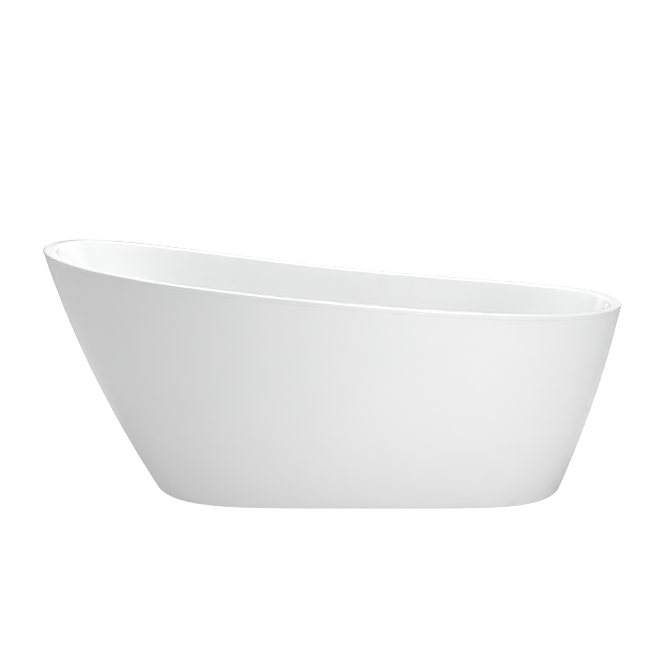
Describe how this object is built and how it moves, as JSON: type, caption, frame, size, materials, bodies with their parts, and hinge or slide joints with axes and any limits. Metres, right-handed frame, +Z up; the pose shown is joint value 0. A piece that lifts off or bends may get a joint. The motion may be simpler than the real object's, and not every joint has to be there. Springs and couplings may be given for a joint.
{
  "type": "freestanding bathtub",
  "caption": "White freestanding slipper bathtub with a high sloping head end, flared sides, thin flat rim, push-to-close drain, wall overflow and levelling feet.",
  "frame": {"origin": "on the floor, under the middle of the rim's length and width", "axes": "+X along the tub from the high head end to the foot end, +Z up, +Y to the left looking from head to foot"},
  "size_m": [1.6985, 0.8, 0.708],
  "materials": {
    "white_acrylic": "smooth gloss white acrylic, glass-fibre resin on the hidden sides",
    "resin_coated_board": "matt, resin coated",
    "rim_adhesive": "cured sealant, satin",
    "galvanised_steel": "galvanised, dull grey",
    "zinc_fastener": "bright zinc plate",
    "black_rubber": "matt",
    "pad_plastic": "matt moulded plastic",
    "chrome": "polished chrome plate",
    "brass": "machined",
    "waste_plastic": "white moulded pipe plastic, satin",
    "hose_plastic": "flexible hose, satin"
  },
  "bodies": {
    "tub": {"inner_basin": "white_acrylic", "outer_skirt": "white_acrylic", "reinforcing_board": "resin_coated_board", "rim_adhesive_bead": "rim_adhesive", "frame_rail_left": "galvanised_steel", "frame_rail_right": "galvanised_steel", "frame_crossbar_head": "galvanised_steel", "frame_crossbar_middle": "galvanised_steel", "frame_crossbar_foot": "galvanised_steel", "skirt_bracket_head_left": "galvanised_steel", "skirt_bracket_head_right": "galvanised_steel", "skirt_bracket_foot_left": "galvanised_steel", "skirt_bracket_foot_right": "galvanised_steel", "rail_bolt_head_left": "zinc_fastener", "flange_bolt_head_left": "zinc_fastener", "rail_bolt_head_right": "zinc_fastener", "flange_bolt_head_right": "zinc_fastener", "rail_bolt_foot_left": "zinc_fastener", "flange_bolt_foot_left": "zinc_fastener", "rail_bolt_foot_right": "zinc_fastener", "flange_bolt_foot_right": "zinc_fastener", "foot_lock_nut_head_left": "zinc_fastener", "foot_lock_nut_head_right": "zinc_fastener", "foot_lock_nut_middle_left": "zinc_fastener", "foot_lock_nut_middle_right": "zinc_fastener", "foot_lock_nut_foot_left": "zinc_fastener", "foot_lock_nut_foot_right": "zinc_fastener", "drain_flange": "chrome", "drain_seal": "black_rubber", "waste_body": "waste_plastic", "outlet_tailpiece": "waste_plastic", "slip_washer": "black_rubber", "slip_nut": "waste_plastic", "stopper_cartridge": "brass", "stopper_spring": "zinc_fastener", "overflow_flange": "chrome", "overflow_cap": "chrome", "overflow_seal": "black_rubber", "overflow_elbow": "waste_plastic", "overflow_hose": "hose_plastic", "hose_clamp_upper": "zinc_fastener", "hose_clamp_lower": "zinc_fastener"},
    "stopper": {"stopper_cap": "chrome", "stopper_seal": "black_rubber", "stopper_stem": "brass"},
    "foot_head_left": {"foot_pad_head_left": "pad_plastic"},
    "stud_head_left": {"foot_stud_head_left": "zinc_fastener"},
    "foot_head_right": {"foot_pad_head_right": "pad_plastic"},
    "stud_head_right": {"foot_stud_head_right": "zinc_fastener"},
    "foot_middle_left": {"foot_pad_middle_left": "pad_plastic"},
    "stud_middle_left": {"foot_stud_middle_left": "zinc_fastener"},
    "foot_middle_right": {"foot_pad_middle_right": "pad_plastic"},
    "stud_middle_right": {"foot_stud_middle_right": "zinc_fastener"},
    "foot_foot_left": {"foot_pad_foot_left": "pad_plastic"},
    "stud_foot_left": {"foot_stud_foot_left": "zinc_fastener"},
    "foot_foot_right": {"foot_pad_foot_right": "pad_plastic"},
    "stud_foot_right": {"foot_stud_foot_right": "zinc_fastener"}
  },
  "joints": [
    {"name": "stopper_slide", "type": "slide", "parent": "tub", "child": "stopper", "axis": [0, 0, 1], "range_m": [-0.009, 0], "deforming": ["stopper_spring"]},
    {"name": "foot_height_head_left", "type": "slide", "parent": "tub", "child": "foot_head_left", "axis": [0, 0, 1], "range_m": [-0.02, 0]},
    {"name": "stud_turn_head_left", "type": "hinge", "parent": "foot_head_left", "child": "stud_head_left", "pos_m": [-0.36, 0.17, 0.05], "axis": [0, 0, 1], "range_deg": [-4115, 0]},
    {"name": "foot_height_head_right", "type": "slide", "parent": "tub", "child": "foot_head_right", "axis": [0, 0, 1], "range_m": [-0.02, 0]},
    {"name": "stud_turn_head_right", "type": "hinge", "parent": "foot_head_right", "child": "stud_head_right", "pos_m": [-0.36, -0.17, 0.05], "axis": [0, 0, 1], "range_deg": [-4115, 0]},
    {"name": "foot_height_middle_left", "type": "slide", "parent": "tub", "child": "foot_middle_left", "axis": [0, 0, 1], "range_m": [-0.02, 0]},
    {"name": "stud_turn_middle_left", "type": "hinge", "parent": "foot_middle_left", "child": "stud_middle_left", "pos_m": [0.08, 0.17, 0.05], "axis": [0, 0, 1], "range_deg": [-4115, 0]},
    {"name": "foot_height_middle_right", "type": "slide", "parent": "tub", "child": "foot_middle_right", "axis": [0, 0, 1], "range_m": [-0.02, 0]},
    {"name": "stud_turn_middle_right", "type": "hinge", "parent": "foot_middle_right", "child": "stud_middle_right", "pos_m": [0.08, -0.17, 0.05], "axis": [0, 0, 1], "range_deg": [-4115, 0]},
    {"name": "foot_height_foot_left", "type": "slide", "parent": "tub", "child": "foot_foot_left", "axis": [0, 0, 1], "range_m": [-0.02, 0]},
    {"name": "stud_turn_foot_left", "type": "hinge", "parent": "foot_foot_left", "child": "stud_foot_left", "pos_m": [0.52, 0.17, 0.05], "axis": [0, 0, 1], "range_deg": [-4115, 0]},
    {"name": "foot_height_foot_right", "type": "slide", "parent": "tub", "child": "foot_foot_right", "axis": [0, 0, 1], "range_m": [-0.02, 0]},
    {"name": "stud_turn_foot_right", "type": "hinge", "parent": "foot_foot_right", "child": "stud_foot_right", "pos_m": [0.52, -0.17, 0.05], "axis": [0, 0, 1], "range_deg": [-4115, 0]}
  ],
  "couplings": [
    {"joint": "stud_turn_head_left", "follows": "foot_height_head_left", "rad_per_m": 3590.4},
    {"joint": "stud_turn_head_right", "follows": "foot_height_head_right", "rad_per_m": 3590.4},
    {"joint": "stud_turn_middle_left", "follows": "foot_height_middle_left", "rad_per_m": 3590.4},
    {"joint": "stud_turn_middle_right", "follows": "foot_height_middle_right", "rad_per_m": 3590.4},
    {"joint": "stud_turn_foot_left", "follows": "foot_height_foot_left", "rad_per_m": 3590.4},
    {"joint": "stud_turn_foot_right", "follows": "foot_height_foot_right", "rad_per_m": 3590.4}
  ]
}
